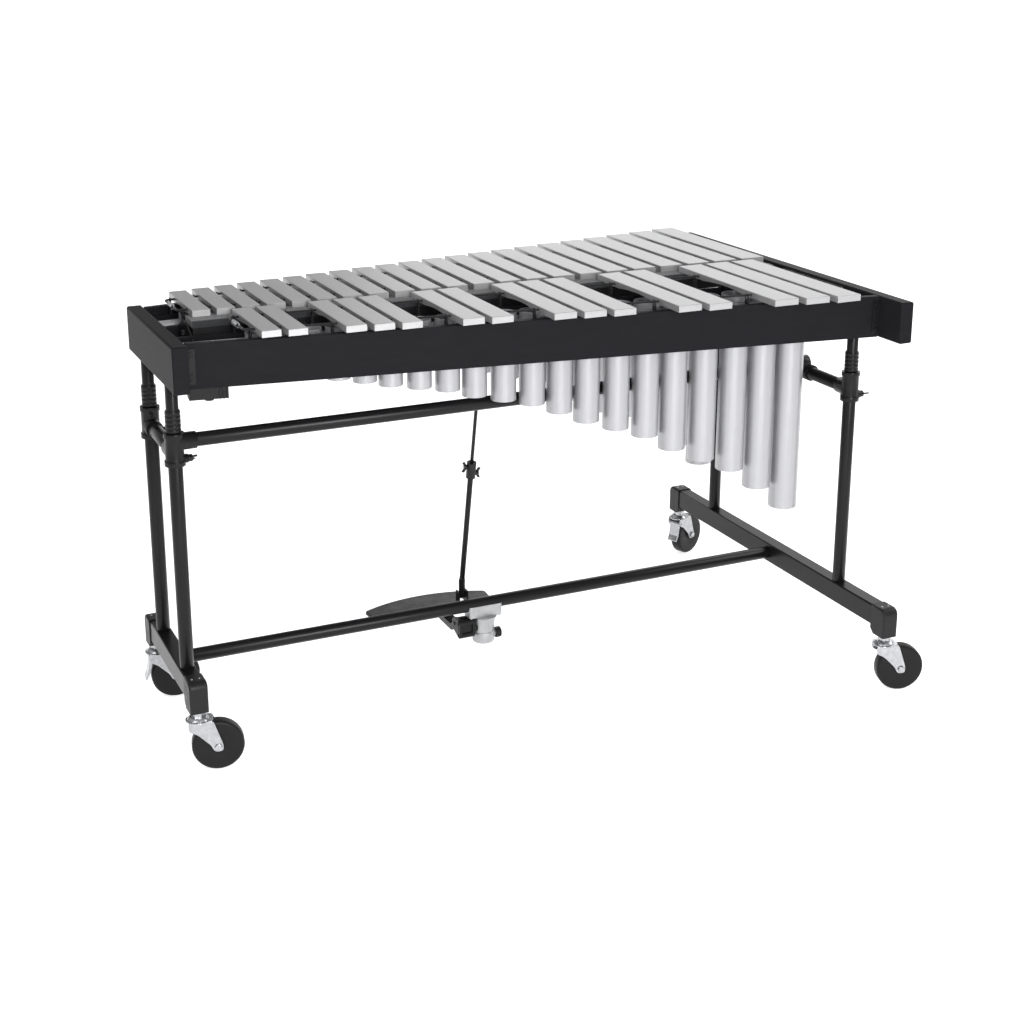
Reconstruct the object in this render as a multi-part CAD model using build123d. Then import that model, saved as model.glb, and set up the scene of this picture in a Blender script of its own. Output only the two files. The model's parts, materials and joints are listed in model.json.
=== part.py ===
from build123d import *
import math
import os

# Three-octave portable vibraphone on a rolling stand, in millimetres.
# +X runs from the small (high) end to the large (low) end, +Y is the player's side and +Z is up.
# The origin is on the floor below the middle of the instrument.

# ---- Driving dimensions -------------------------------------------------------------------------
LENGTH = 1340.0            # over the two end panels
PANEL_T = 28.0             # end panel thickness
PANEL_TOP = 785.0          # top of the end panels and of the front and rear rails
SMALL_PANEL_H = 83.0
LARGE_PANEL_H = 79.0
SMALL_PANEL_HALF = 175.0   # half of the small end panel's depth
LARGE_PANEL_HALF = 403.0   # half of the large end panel's depth

RAIL_T = 15.0              # front and rear rails
RAIL_H = 79.0
RAIL_HALF_SMALL = 157.5    # centre line to the rail's outer face, at the small end
RAIL_HALF_LARGE = 335.0    # the same at the large end

BAR_T = 12.0               # tone bars
BAR_BOTTOM = 791.4
BAR_HALF_MID = 280.0       # centre line to a bar's outer end, at X = 0
BAR_HALF_SLOPE = 0.1725    # growth of that distance along X
BAR_INNER = 7.0            # centre line to a bar's inner end
NODE_FRACTION = 0.224      # nodal line, as a fraction of the bar's length from each end
NATURALS = 22
FIRST_X = -571.9           # centre of the smallest natural bar
FIRST_PITCH = 44.9
PITCH_STEP = 0.989         # each natural pitch is larger than the last by this
FIRST_WIDTH = 32.2
WIDTH_STEP = 0.95
ACCIDENTAL_PITCH = 0.96    # accidental pitch inside a group, against the natural pitch there
# Centre of each accidental group, counted in natural bars from the small end, and its bars.
GROUPS = [(2.0, 2), (5.5, 3), (9.0, 2), (12.5, 3), (16.0, 2), (19.5, 3)]
HIGHEST_NOTE = 89          # F6; notes are numbered so that A4 = 69 sounds at 442 Hz
NATURAL_STEPS = [1, 2, 2, 1, 2, 2, 2]  # semitones down from F: F E D C B A G F

CORD_D = 4.0
CORD_HOLE_R = 2.75
CORD_Z = BAR_BOTTOM + BAR_T / 2

NODE_RAIL_W = 12.0         # support rails below the nodal lines
NODE_RAIL_TOP = 770.0
NODE_RAIL_H = 34.0

TUBE_TOP = 780.0           # resonators
TUBE_WALL = 1.5
TUBE_D_MID = 48.5          # diameter at X = 0
TUBE_D_SLOPE = 0.0148      # growth of the diameter along X
SPEED_OF_SOUND = 343000.0
SKIRT_STEP = 1.1           # the tube reaches this much further below its stopper, bar by bar

LEG_X = 656.0              # stand
LEG_OD = 25.4
LEG_ID = 22.2
POST_OD = 22.0
SMALL_LEG_Y = 91.0
LARGE_LEG_Y = 241.0
FOOT_TOP = 172.0
FOOT_H = 42.0
FOOT_W = 30.0
SMALL_STEMS = (154.0, 164.0)   # front and rear caster stems, from the middle
LARGE_STEMS = (398.0, 398.0)
CAP_BOTTOM = 115.0
COLLAR_BOTTOM = 556.0
COLLAR_TOP = 614.0
COLLAR_OD = 33.0
SIDE_BAR_Z = 578.0
UPPER_BAR_Z = 597.0
LOWER_BAR_Z = 150.0
LOCK_Z = 565.0             # wing bolt height

WHEEL_R = 47.0             # casters
WHEEL_W = 26.0
TRAIL = 33.0
AXLE_R = 4.0
FORK_TOP = 98.5

DAMPER_HALF_W = 25.0
FELT_T = 12.0
DAMPER_GAP = 0.3           # felt to bars
DAMPER_X0 = -597.0
DAMPER_X1 = 608.0

ROD_X = -38.0              # pull rod
ROD_FOOT_Y = 94.0
ROD_FOOT_Z = 163.0
ROD_HEAD_Y = -22.0
ROD_HEAD_Z = 742.0
PEDAL_PIN_Z = 137.0

PEDAL_PIVOT_Y = 12.0       # pedal
PEDAL_PIVOT_Z = 112.0
PEDAL_TOP = 123.0
CLAMP_X = -32.0
CLAMP_R = 22.0

CLEAR = 0.05               # radial clearance of a running fit
GAP = 0.3                  # gap between faces of different moving bodies

HALF = LENGTH / 2
INNER_X = HALF - PANEL_T   # inner face of each end panel
BAR_TOP = BAR_BOTTOM + BAR_T

os.makedirs("parts", exist_ok=True)


# ---- Helpers ------------------------------------------------------------------------------------
def block(x0, x1, y0, y1, z0, z1):
    """Box between two corners."""
    centre = ((x0 + x1) / 2, (y0 + y1) / 2, (z0 + z1) / 2)
    return Pos(*centre) * Box(abs(x1 - x0), abs(y1 - y0), abs(z1 - z0))


TURN = {"X": Rot(0, 90, 0), "Y": Rot(-90, 0, 0), "Z": Rot(0, 0, 0)}


def rod(x, y, z, axis, radius, length):
    """Cylinder that starts at a point and runs along +X, +Y or +Z."""
    base = (Align.CENTER, Align.CENTER, Align.MIN)
    return Pos(x, y, z) * TURN[axis] * Cylinder(radius, length, align=base)


def pipe(x, y, z, axis, outer, inner, length):
    """Tube that starts at a point and runs along +X, +Y or +Z."""
    return rod(x, y, z, axis, outer, length) - rod(x, y, z, axis, inner, length)


def slab(points, z0, z1):
    """Flat plate from a plan outline."""
    return Pos(0, 0, z0) * extrude(make_face(Polyline(*points, close=True)), z1 - z0)


def side_plate(points, x0, x1):
    """Plate from an outline of (y, z) points, between two X positions."""
    wire = Polyline(*[(x0, y, z) for y, z in points], close=True)
    return extrude(make_face(wire), x1 - x0, dir=(1, 0, 0))


NODES = {}


def save(node, *solids):
    """Keep one node, as one solid or as a group of separate solids."""
    flat = [s for item in solids for s in item.solids()]
    NODES[node] = flat[0] if len(flat) == 1 else Compound(children=flat)


# ---- Layout of the bars -------------------------------------------------------------------------
def natural_x(i):
    """Centre of natural bar i, which need not be a whole number."""
    return FIRST_X + FIRST_PITCH * i + PITCH_STEP * i * (i - 1) / 2


def bar_width(i):
    return FIRST_WIDTH + WIDTH_STEP * i


def bar_outer(x):
    return BAR_HALF_MID + BAR_HALF_SLOPE * x


def nodal(x, fraction):
    """Distance from the centre line to a point at this fraction of the bar's length."""
    return BAR_INNER + fraction * (bar_outer(x) - BAR_INNER)


def nodal_angle(fraction):
    """Angle between a nodal line and the X axis, in degrees."""
    return math.degrees(math.atan(fraction * BAR_HALF_SLOPE))


def rail_outer(x):
    share = (x + INNER_X) / (2 * INNER_X)
    return RAIL_HALF_SMALL + share * (RAIL_HALF_LARGE - RAIL_HALF_SMALL)


def tube_d(x):
    return TUBE_D_MID + TUBE_D_SLOPE * x


def natural_notes():
    notes = [HIGHEST_NOTE]
    while len(notes) < NATURALS:
        notes.append(notes[-1] - NATURAL_STEPS[(len(notes) - 1) % len(NATURAL_STEPS)])
    return notes


def accidental_layout():
    """Groups of (x, width) for the accidental bars, from the small end."""
    groups = []
    for centre, count in GROUPS:
        pitch = ACCIDENTAL_PITCH * (natural_x(centre + 0.5) - natural_x(centre - 0.5))
        first = natural_x(centre) - pitch * (count - 1) / 2
        groups.append([(first + k * pitch, bar_width(centre)) for k in range(count)])
    return groups


def frequency(note):
    return 442.0 * 2 ** ((note - 69) / 12)


def tube_length(note, x):
    """Quarter wave less the end correction, plus the skirt below the stopper."""
    quarter = SPEED_OF_SOUND / (4 * frequency(note)) - 0.3 * tube_d(x)
    return quarter + SKIRT_STEP * (note - 54) * 12 / 21


NATURAL_NOTES = natural_notes()
NATURAL_BARS = [(natural_x(i), bar_width(i)) for i in range(NATURALS)]
ACCIDENTAL_GROUPS = accidental_layout()
ACCIDENTAL_BARS = [bar for group in ACCIDENTAL_GROUPS for bar in group]
ACCIDENTAL_NOTES = [n for n in range(HIGHEST_NOTE, 52, -1) if n % 12 in (1, 3, 6, 8, 10)]


# ---- End panels and rails -----------------------------------------------------------------------
EDGE = 4.0                 # rounding of the end panels
RAIL_EDGE = 1.0


def end_panel(side, half_depth, height):
    x0 = side * INNER_X
    x1 = side * HALF
    panel = block(x0, x1, -half_depth, half_depth, PANEL_TOP - height, PANEL_TOP)
    return fillet(panel.edges(), EDGE)


def rail_strip(inner, outer, z0, z1, side):
    """Straight rail between the end panels; inner and outer give its Y at an X position."""
    ends = (-INNER_X, INNER_X)
    points = [(x, side * outer(x)) for x in ends] + [(x, side * inner(x)) for x in reversed(ends)]
    return slab(points, z0, z1)


def board(side):
    rail = rail_strip(lambda x: rail_outer(x) - RAIL_T, rail_outer, PANEL_TOP - RAIL_H, PANEL_TOP, side)
    return chamfer(rail.edges().group_by(Axis.Z)[-1], RAIL_EDGE)


def node_rail(fraction, side):
    half = NODE_RAIL_W / 2
    return rail_strip(lambda x: nodal(x, fraction) - half, lambda x: nodal(x, fraction) + half,
                      NODE_RAIL_TOP - NODE_RAIL_H, NODE_RAIL_TOP, side)


FRACTIONS = (NODE_FRACTION, 1 - NODE_FRACTION)


# ---- Tone bars ----------------------------------------------------------------------------------
ARCH_SHARE = 0.44          # length of the arched underside, against the bar's length
ARCH_SMALL = 2.6           # arch depth of the smallest and of the largest bar
ARCH_LARGE = 5.4
BAR_EDGE = 0.8


def tone_bar(x, width, side):
    """Bar with an arched underside and a cord hole at each nodal line."""
    outer = bar_outer(x)
    length = outer - BAR_INNER
    middle = side * (outer + BAR_INNER) / 2
    bar = Pos(x, middle, BAR_BOTTOM + BAR_T / 2) * Box(width, length, BAR_T)
    bar = chamfer(bar.edges().group_by(Axis.Z)[-1], BAR_EDGE)
    share = (width - FIRST_WIDTH) / (WIDTH_STEP * (NATURALS - 1))
    depth = ARCH_SMALL + share * (ARCH_LARGE - ARCH_SMALL)
    chord = ARCH_SHARE * length
    radius = (chord ** 2 / 4 + depth ** 2) / (2 * depth)
    bar -= rod(x - width, middle, BAR_BOTTOM + depth - radius, "X", radius, 2 * width)
    for fraction in FRACTIONS:
        place = Pos(x, side * nodal(x, fraction), CORD_Z) * Rot(0, 0, side * nodal_angle(fraction))
        bar -= place * Rot(0, 90, 0) * Cylinder(CORD_HOLE_R, 2 * width)
    return bar


# ---- Cord posts ---------------------------------------------------------------------------------
POST_W = 5.0               # along X
POST_D = 9.0               # along Y
POST_TOP = BAR_TOP - 2.5
SLOT_W = CORD_D + 0.4


def cord_post(x, fraction, side):
    """Post with a fork at its top for the cord, in line with the nodal rail below it."""
    half_w, half_d = POST_W / 2, POST_D / 2
    post = block(-half_w, half_w, -half_d, half_d, NODE_RAIL_TOP, POST_TOP)
    post += block(-half_w, half_w, -NODE_RAIL_W / 2, NODE_RAIL_W / 2, NODE_RAIL_TOP, NODE_RAIL_TOP + 3)
    post -= block(-POST_W, POST_W, -SLOT_W / 2, SLOT_W / 2, CORD_Z - CORD_D / 2 - 0.1, POST_TOP + 1)
    return Pos(x, side * nodal(x, fraction), 0) * Rot(0, 0, side * nodal_angle(fraction)) * post


def post_places(bars):
    """X positions of the posts: one in each gap and one beyond each end."""
    edge = 8.0
    first = bars[0][0] - bars[0][1] / 2 - edge
    last = bars[-1][0] + bars[-1][1] / 2 + edge
    between = [(a[0] + a[1] / 2 + b[0] - b[1] / 2) / 2 for a, b in zip(bars, bars[1:])]
    return [first] + between + [last]


NATURAL_POSTS = post_places(NATURAL_BARS)
ACCIDENTAL_POSTS = [x for group in ACCIDENTAL_GROUPS for x in post_places(group)]


def posts(places, side):
    return [cord_post(x, f, side) for f in FRACTIONS for x in places]


# ---- Cords and their springs --------------------------------------------------------------------
CORD_OVERRUN = 10.0        # cord's turn beyond the last post
CORD_BEND = 8.0
SPRING_LENGTH = 40.0
SPRING_R = 4.5


def cord_ends(places):
    return min(places) - CORD_OVERRUN, max(places) + CORD_OVERRUN


def spring_middle(places, side):
    x = cord_ends(places)[0]
    return x, side * (nodal(x, FRACTIONS[0]) + nodal(x, FRACTIONS[1])) / 2


def cord(places, side):
    """Loop through the bars along both nodal lines; a spring joins its two ends."""
    x0, x1 = cord_ends(places)
    near, far = FRACTIONS
    spring_y = spring_middle(places, side)[1]
    half = side * SPRING_LENGTH / 2
    route = [(x0, spring_y - half), (x0, side * nodal(x0, near)), (x1, side * nodal(x1, near)),
             (x1, side * nodal(x1, far)), (x0, side * nodal(x0, far)), (x0, spring_y + half)]
    path = FilletPolyline(*[(x, y, CORD_Z) for x, y in route], radius=CORD_BEND)
    start = Plane(origin=path @ 0, z_dir=path % 0)
    return sweep(start * Circle(CORD_D / 2), path=path)


def cord_spring(places, side):
    """Closed-wound tension spring between the cord's two ends."""
    x, y = spring_middle(places, side)
    turns = 10
    pitch = SPRING_LENGTH / turns
    body = rod(x, y - SPRING_LENGTH / 2, CORD_Z, "Y", SPRING_R - 1, SPRING_LENGTH)
    for k in range(turns):
        body += rod(x, y - SPRING_LENGTH / 2 + (k + 0.2) * pitch, CORD_Z, "Y", SPRING_R, 0.6 * pitch)
    return body


# ---- Resonators ---------------------------------------------------------------------------------
STOPPER_T = 2.0
BANK_RAIL_T = 2.5
BANK_RAIL_TOP = 766.0
BANK_RAIL_H = 18.0
TOUCH = 0.02               # tubes and bank rails meet along a line


def tube_centre(x, side):
    return side * (bar_outer(x) + BAR_INNER) / 2


def resonator(x, length, side):
    y = tube_centre(x, side)
    radius = tube_d(x) / 2
    return pipe(x, y, TUBE_TOP - length, "Z", radius, radius - TUBE_WALL, length)


def stopper(x, length, skirt, side):
    y = tube_centre(x, side)
    return rod(x, y, TUBE_TOP - length + skirt, "Z", tube_d(x) / 2 - TUBE_WALL, STOPPER_T)


def bank_rail(row_side, edge):
    """Strip along one side of a bank of tubes."""
    tangent = math.hypot(1, (BAR_HALF_SLOPE + edge * TUBE_D_SLOPE) / 2)

    def inner(x):
        return tube_centre(x, 1) + edge * (tube_d(x) / 2 * tangent + TOUCH)

    def outer(x):
        return inner(x) + edge * BANK_RAIL_T
    return rail_strip(inner, outer, BANK_RAIL_TOP - BANK_RAIL_H, BANK_RAIL_TOP, row_side)


NATURAL_TUBES = [(x, tube_length(n, x)) for (x, _), n in zip(NATURAL_BARS, NATURAL_NOTES)]
ACCIDENTAL_TUBES = [(x, tube_length(n, x)) for (x, _), n in zip(ACCIDENTAL_BARS, ACCIDENTAL_NOTES)]


def dummy_tubes():
    """Silent tubes that fill the gaps between the groups of accidentals."""
    last = -1
    tubes = []
    for _, count in GROUPS[:-1]:
        last += count
        (xa, la), (xb, lb) = ACCIDENTAL_TUBES[last], ACCIDENTAL_TUBES[last + 1]
        tubes.append(((xa + xb) / 2, (la + lb) / 2))
    return tubes


DUMMY_TUBES = dummy_tubes()
STOPPER_SKIRT = 3.0


# ---- Damper -------------------------------------------------------------------------------------
FELT_TOP = BAR_BOTTOM - DAMPER_GAP
CHANNEL_TOP = FELT_TOP - FELT_T
CHANNEL_H = 22.0
CHANNEL_BOTTOM = CHANNEL_TOP - CHANNEL_H
CHANNEL_WALL = 2.0
GUIDE_T = 3.0
GUIDE_PIN_R = 4.0
GUIDE_PIN_Z = CHANNEL_BOTTOM + CHANNEL_H / 2
DAMPER_TRAVEL = 10.0
SEAT_Z = 722.0
DAMPER_SPRING_R = 6.0
DAMPER_SPRING_IN = 16.0    # spring axis, in from the guide


def damper_bar():
    """Channel below the felt, with an end wall and a guide pin at each end and an eye for the rod."""
    y = DAMPER_HALF_W
    bar = block(DAMPER_X0, DAMPER_X1, -y, y, CHANNEL_BOTTOM, CHANNEL_TOP)
    bar -= block(DAMPER_X0 + GUIDE_T, DAMPER_X1 - GUIDE_T, -y + CHANNEL_WALL, y - CHANNEL_WALL,
                 CHANNEL_BOTTOM - 1, CHANNEL_TOP - CHANNEL_WALL)
    pin = 2 * GUIDE_T + 8
    bar += rod(DAMPER_X0 - pin, 0, GUIDE_PIN_Z, "X", GUIDE_PIN_R, pin)
    bar += rod(DAMPER_X1, 0, GUIDE_PIN_Z, "X", GUIDE_PIN_R, pin)
    for end in (DAMPER_X0, DAMPER_X1 - 2 * DAMPER_SPRING_IN):
        bar += block(end, end + 2 * DAMPER_SPRING_IN, -12, 12, CHANNEL_BOTTOM, CHANNEL_BOTTOM + 2)
    bar += block(ROD_X - 24, ROD_X + 24, -y + CHANNEL_WALL, 0, CHANNEL_BOTTOM, CHANNEL_BOTTOM + 2)
    for side in (-1, 1):
        inner = ROD_X + side * (ROD_EYE_HALF + GAP)
        cheek = (inner, inner + side * 3, ROD_HEAD_Y - 7, ROD_HEAD_Y + 7)
        bar += block(*cheek, ROD_HEAD_Z - 7, CHANNEL_BOTTOM + 1)
    bar += rod(ROD_X - ROD_EYE_HALF - 4, ROD_HEAD_Y, ROD_HEAD_Z, "X", ROD_PIN_R, 2 * ROD_EYE_HALF + 8)
    return bar


def damper_felt():
    y = DAMPER_HALF_W
    felt = block(DAMPER_X0, DAMPER_X1, -y, y, CHANNEL_TOP, FELT_TOP)
    return fillet(felt.edges().filter_by(Axis.X).group_by(Axis.Z)[-1], 3)


def damper_guide(side):
    """Triangular end bracket with a slot for the guide pin and a seat for the spring."""
    face = DAMPER_X1 + 6 if side > 0 else DAMPER_X0 - 6
    x0, x1 = sorted((face, face + side * GUIDE_T))
    x_mid = (x0 + x1) / 2
    reach = nodal(x_mid, NODE_FRACTION) + 14
    top = BAR_BOTTOM - 3
    foot = NODE_RAIL_TOP - NODE_RAIL_H
    outline = [(-reach, foot), (reach, foot), (reach, NODE_RAIL_TOP - 6), (12, top), (-12, top),
               (-reach, NODE_RAIL_TOP - 6)]
    plate = side_plate(outline, x0, x1)
    slot_r = GUIDE_PIN_R + GAP
    slot = block(x0 - 1, x1 + 1, -slot_r, slot_r, GUIDE_PIN_Z - DAMPER_TRAVEL, GUIDE_PIN_Z)
    slot += rod(x0 - 1, 0, GUIDE_PIN_Z, "X", slot_r, GUIDE_T + 2)
    slot += rod(x0 - 1, 0, GUIDE_PIN_Z - DAMPER_TRAVEL, "X", slot_r, GUIDE_T + 2)
    plate -= slot
    seat_x = sorted((face, face - side * (6 + 2 * DAMPER_SPRING_IN)))
    plate += block(*seat_x, -14, 14, SEAT_Z - GUIDE_T, SEAT_Z)
    plate += block(x0, x1, -14, 14, SEAT_Z - GUIDE_T, foot)
    for rail_side in (-1, 1):
        plate -= node_rail(NODE_FRACTION, rail_side)
    return plate


def damper_springs():
    springs = []
    for x in (DAMPER_X0 + DAMPER_SPRING_IN, DAMPER_X1 - DAMPER_SPRING_IN):
        springs.append(pipe(x, 0, SEAT_Z, "Z", DAMPER_SPRING_R, DAMPER_SPRING_R - 2, CHANNEL_BOTTOM - SEAT_Z))
    return springs


# ---- Corner hardware ----------------------------------------------------------------------------
BRACKET_H = 62.0
BRACKET_W = 14.0
BRACKET_T = 2.5
SCREW_R = 3.0
RAIL_SLOPE = math.degrees(math.atan((RAIL_HALF_LARGE - RAIL_HALF_SMALL) / (2 * INNER_X)))
BRACKET_Z = PANEL_TOP - RAIL_H / 2


def corner_frame(end, side):
    """Location on the rail's outer face, at an end panel: local X runs along the rail."""
    return Pos(end * INNER_X, side * rail_outer(end * INNER_X), BRACKET_Z) * Rot(0, 0, side * RAIL_SLOPE)


def rail_bracket(end, side):
    """Strip screwed to the outer face of a rail, beside the end panel."""
    strip = block(0, -end * BRACKET_W, 0, side * BRACKET_T, -BRACKET_H / 2, BRACKET_H / 2)
    limit = block(end * INNER_X, end * HALF, -HALF, HALF, 0, PANEL_TOP)
    return corner_frame(end, side) * strip - limit


def bracket_screws(end, side):
    heads = []
    for z in (-24, -15, 15, 24):
        head = Pos(-end * BRACKET_W / 2, side * (BRACKET_T + 1), z) * Rot(90, 0, 0) * Cylinder(SCREW_R, 2)
        heads.append(corner_frame(end, side) * head)
    return heads


BLOCK_L = 68.0
BLOCK_D = 34.0
BLOCK_H = 20.0


def corner_block(side):
    """Ribbed casting below a rail, at the small end."""
    low = -RAIL_H / 2 - BLOCK_H
    high = -RAIL_H / 2
    body = block(1, BLOCK_L, -side * 2, -side * BLOCK_D, low, high)
    for k in range(3):
        body += block(BLOCK_L - 4 - 6 * k, BLOCK_L - 1 - 6 * k, 0, -side * 2, low, high)
    body += rod(36, -side * 14, low - 4, "Z", 8, 4)
    limit = block(-HALF, -INNER_X, -HALF, HALF, 0, PANEL_TOP)
    return corner_frame(-1, side) * body - limit


# ---- Stand --------------------------------------------------------------------------------------
POST_BOTTOM = 440.0
LEG_BOTTOM = FOOT_TOP - FOOT_H + 4
LEG_TOP = COLLAR_TOP - 9
LEGS = [(-1, -1, SMALL_LEG_Y), (-1, 1, SMALL_LEG_Y), (1, -1, LARGE_LEG_Y), (1, 1, LARGE_LEG_Y)]
LEG_NAMES = ["small_front", "small_rear", "large_front", "large_rear"]
SOCKET = 34.0              # length of a crossbar socket from the leg's axis
SOCKET_R = 15.8
RING_H = 41.0              # ringed stop collar
RING_PITCH = 8.0
BAR_END = 16.0             # crossbar end from the leg's axis


def leg_tube(end, side, y):
    return pipe(end * LEG_X, side * y, LEG_BOTTOM, "Z", LEG_OD / 2, LEG_ID / 2, LEG_TOP - LEG_BOTTOM)


def upper_post(end, side, y):
    top = PANEL_TOP - (SMALL_PANEL_H if end < 0 else LARGE_PANEL_H)
    return pipe(end * LEG_X, side * y, POST_BOTTOM, "Z", POST_OD / 2, POST_OD / 2 - 2, top - POST_BOTTOM)


def height_ring(end, side, y):
    """Ringed stop collar fixed on an upper post, just above the leg's clamp."""
    ring = pipe(end * LEG_X, side * y, COLLAR_TOP + GAP, "Z", 12.4, POST_OD / 2, RING_H)
    for k in range(5):
        low = COLLAR_TOP + GAP + 1 + RING_PITCH * k
        ring += pipe(end * LEG_X, side * y, low, "Z", 13.6, POST_OD / 2, 6)
    return ring


def leg_collar(end, side, y):
    """Clamp casting on top of a leg, with a socket for the side crossbar."""
    x = end * LEG_X
    inward = -side
    length = COLLAR_TOP - COLLAR_BOTTOM
    outer = COLLAR_OD / 2
    body = rod(x, side * y, COLLAR_BOTTOM, "Z", outer, length)
    body += rod(x, side * y, COLLAR_BOTTOM - 1, "Z", outer + 2, 9)
    body += rod(x, side * y, COLLAR_TOP - 8, "Z", outer + 1.5, 8)
    body += rod(x, min(side * y, side * y + inward * SOCKET), SIDE_BAR_Z, "Y", SOCKET_R, SOCKET)
    body += rod(x, side * y, LOCK_Z, "X", 8, outer + 6)
    if (end, side) == (-1, -1):
        body += rod(x, side * y, UPPER_BAR_Z, "X", SOCKET_R - 0.4, SOCKET + 4)
        body -= rod(x + BAR_END, side * y, UPPER_BAR_Z, "X", LEG_OD / 2, SOCKET)
    body -= rod(x, side * y, COLLAR_BOTTOM - 1, "Z", LEG_OD / 2, LEG_TOP - COLLAR_BOTTOM + 1)
    body -= rod(x, side * y, LEG_TOP, "Z", LEG_ID / 2, COLLAR_TOP - LEG_TOP)
    start = side * y + inward * BAR_END
    body -= rod(x, min(start, start + inward * SOCKET), SIDE_BAR_Z, "Y", LEG_OD / 2, SOCKET)
    body -= rod(x, side * y, LOCK_Z, "X", BOLT_R + CLEAR, SOCKET)
    return body


def crossbar_tee():
    """Clamp that holds the upper crossbar's end on the large end's side crossbar."""
    outer = COLLAR_OD / 2
    y = -SMALL_LEG_Y
    body = rod(LEG_X, y - 20, SIDE_BAR_Z, "Y", outer, 40)
    body += rod(LEG_X - SOCKET - 4, y, UPPER_BAR_Z, "X", SOCKET_R, SOCKET + 4)
    body -= rod(LEG_X, y - 21, SIDE_BAR_Z, "Y", LEG_OD / 2, 42)
    body -= rod(LEG_X - SOCKET - 5, y, UPPER_BAR_Z, "X", LEG_OD / 2, SOCKET + 5 - BAR_END)
    return body


def side_crossbar(end, y):
    reach = y - BAR_END
    return pipe(end * LEG_X, -reach, SIDE_BAR_Z, "Y", LEG_OD / 2, LEG_OD / 2 - 1.6, 2 * reach)


def long_crossbar(y, z, x0, x1):
    return pipe(x0, y, z, "X", LEG_OD / 2, LEG_OD / 2 - 1.6, x1 - x0)


CAP_BACK = 24.0            # cap reaches this far inwards of the stem
CAP_FRONT = 18.0
CAP_HALF_W = 17.0
STEM_R = 5.5


def foot(end, leg_y, stems):
    """Rectangular tube under two legs."""
    front, rear = [side * (y - CAP_BACK + 10) for side, y in zip((-1, 1), stems)]
    x = end * LEG_X
    low = FOOT_TOP - FOOT_H
    wall = 2.0
    beam = block(x - FOOT_W / 2, x + FOOT_W / 2, front, rear, low, FOOT_TOP)
    beam = fillet(beam.edges().filter_by(Axis.Y), 3)
    beam -= block(x - FOOT_W / 2 + wall, x + FOOT_W / 2 - wall, front, rear, low + wall, FOOT_TOP - wall)
    for side in (-1, 1):
        beam -= rod(x, side * leg_y, FOOT_TOP - FOOT_H / 2, "Z", LEG_OD / 2, FOOT_H)
    return beam


def foot_cap(end, side, stem_y):
    """Plastic end piece that closes a foot and holds a caster's stem."""
    x = end * LEG_X
    near = side * (stem_y - CAP_BACK)
    far = side * (stem_y + CAP_FRONT)
    cap = block(x - CAP_HALF_W, x + CAP_HALF_W, near, far, CAP_BOTTOM, FOOT_TOP + 2)
    far_edges = cap.edges().filter_by(Axis.X).sort_by(Axis.Y)
    tops = [e for e in far_edges if abs(e.center().Y - far) < 0.1 and e.center().Z > FOOT_TOP]
    cap = fillet(tops, 14)
    uprights = [e for e in cap.edges().filter_by(Axis.Z) if abs(e.center().Y - far) < 0.1]
    cap = fillet(uprights, 4)
    low_near = [e for e in cap.edges().filter_by(Axis.X)
                if abs(e.center().Y - near) < 0.1 and e.center().Z < FOOT_TOP - FOOT_H]
    cap = chamfer(low_near, 10)
    cap -= block(x - FOOT_W / 2, x + FOOT_W / 2, near - side, near + side * 10,
                 FOOT_TOP - FOOT_H, FOOT_TOP)
    cap -= rod(x, side * stem_y, CAP_BOTTOM - 1, "Z", STEM_R, 36)
    return cap


# ---- Casters ------------------------------------------------------------------------------------
FORK_HALF = 14.8           # inner face of a fork cheek, from the wheel's middle
FORK_T = 2.5
BRAKE_PIVOT = (-12.0, 84.0)
BRAKE_PIN_R = 3.0


def caster_place(end, side, y, turn):
    """Swivel axis of one caster, turned to the way it trails."""
    return Pos(end * LEG_X, side * y, 0) * Rot(0, 0, turn)


def caster_stem(place):
    """Stem with its hexagon and the fixed bearing race."""
    race = FORK_TOP + GAP
    stem = rod(0, 0, CAP_BOTTOM, "Z", STEM_R, 34)
    stem += Pos(0, 0, race + 5) * extrude(RegularPolygon(12, 6), CAP_BOTTOM - race - 5)
    stem += Pos(0, 0, race) * Cone(20, 15, 5, align=(Align.CENTER, Align.CENTER, Align.MIN))
    return place * stem


def caster_fork(place, braked):
    """Swivel plate and two cheeks, with the wheel's axle bolt as a second solid."""
    half = FORK_HALF + FORK_T
    plate = rod(0, 0, FORK_TOP - 3, "Z", 23, 3)
    plate += block(-4, 26, -half, half, FORK_TOP - 3, FORK_TOP)
    outline = [(-18, FORK_TOP), (26, FORK_TOP), (TRAIL + 9, WHEEL_R + 4), (TRAIL + 9, WHEEL_R - 6),
               (TRAIL + 3, WHEEL_R - 10), (TRAIL - 5, WHEEL_R - 9), (TRAIL - 11, WHEEL_R + 2), (-3, 74),
               (-18, 80)]
    for inner in (-half, FORK_HALF):
        wire = Polyline(*[(px, inner, pz) for px, pz in outline], close=True)
        plate += extrude(make_face(wire), FORK_T, dir=(0, 1, 0))
    plate -= rod(TRAIL, -30, WHEEL_R, "Y", AXLE_R, 60)
    if braked:
        px, pz = BRAKE_PIVOT
        plate -= rod(px, -30, pz, "Y", BRAKE_PIN_R + CLEAR, 60)
    bolt = rod(TRAIL, -half, WHEEL_R, "Y", AXLE_R, 2 * half)
    bolt += rod(TRAIL, -half - 4, WHEEL_R, "Y", 7, 4)
    bolt += rod(TRAIL, half, WHEEL_R, "Y", 7, 4)
    return [place * plate, place * bolt]


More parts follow.
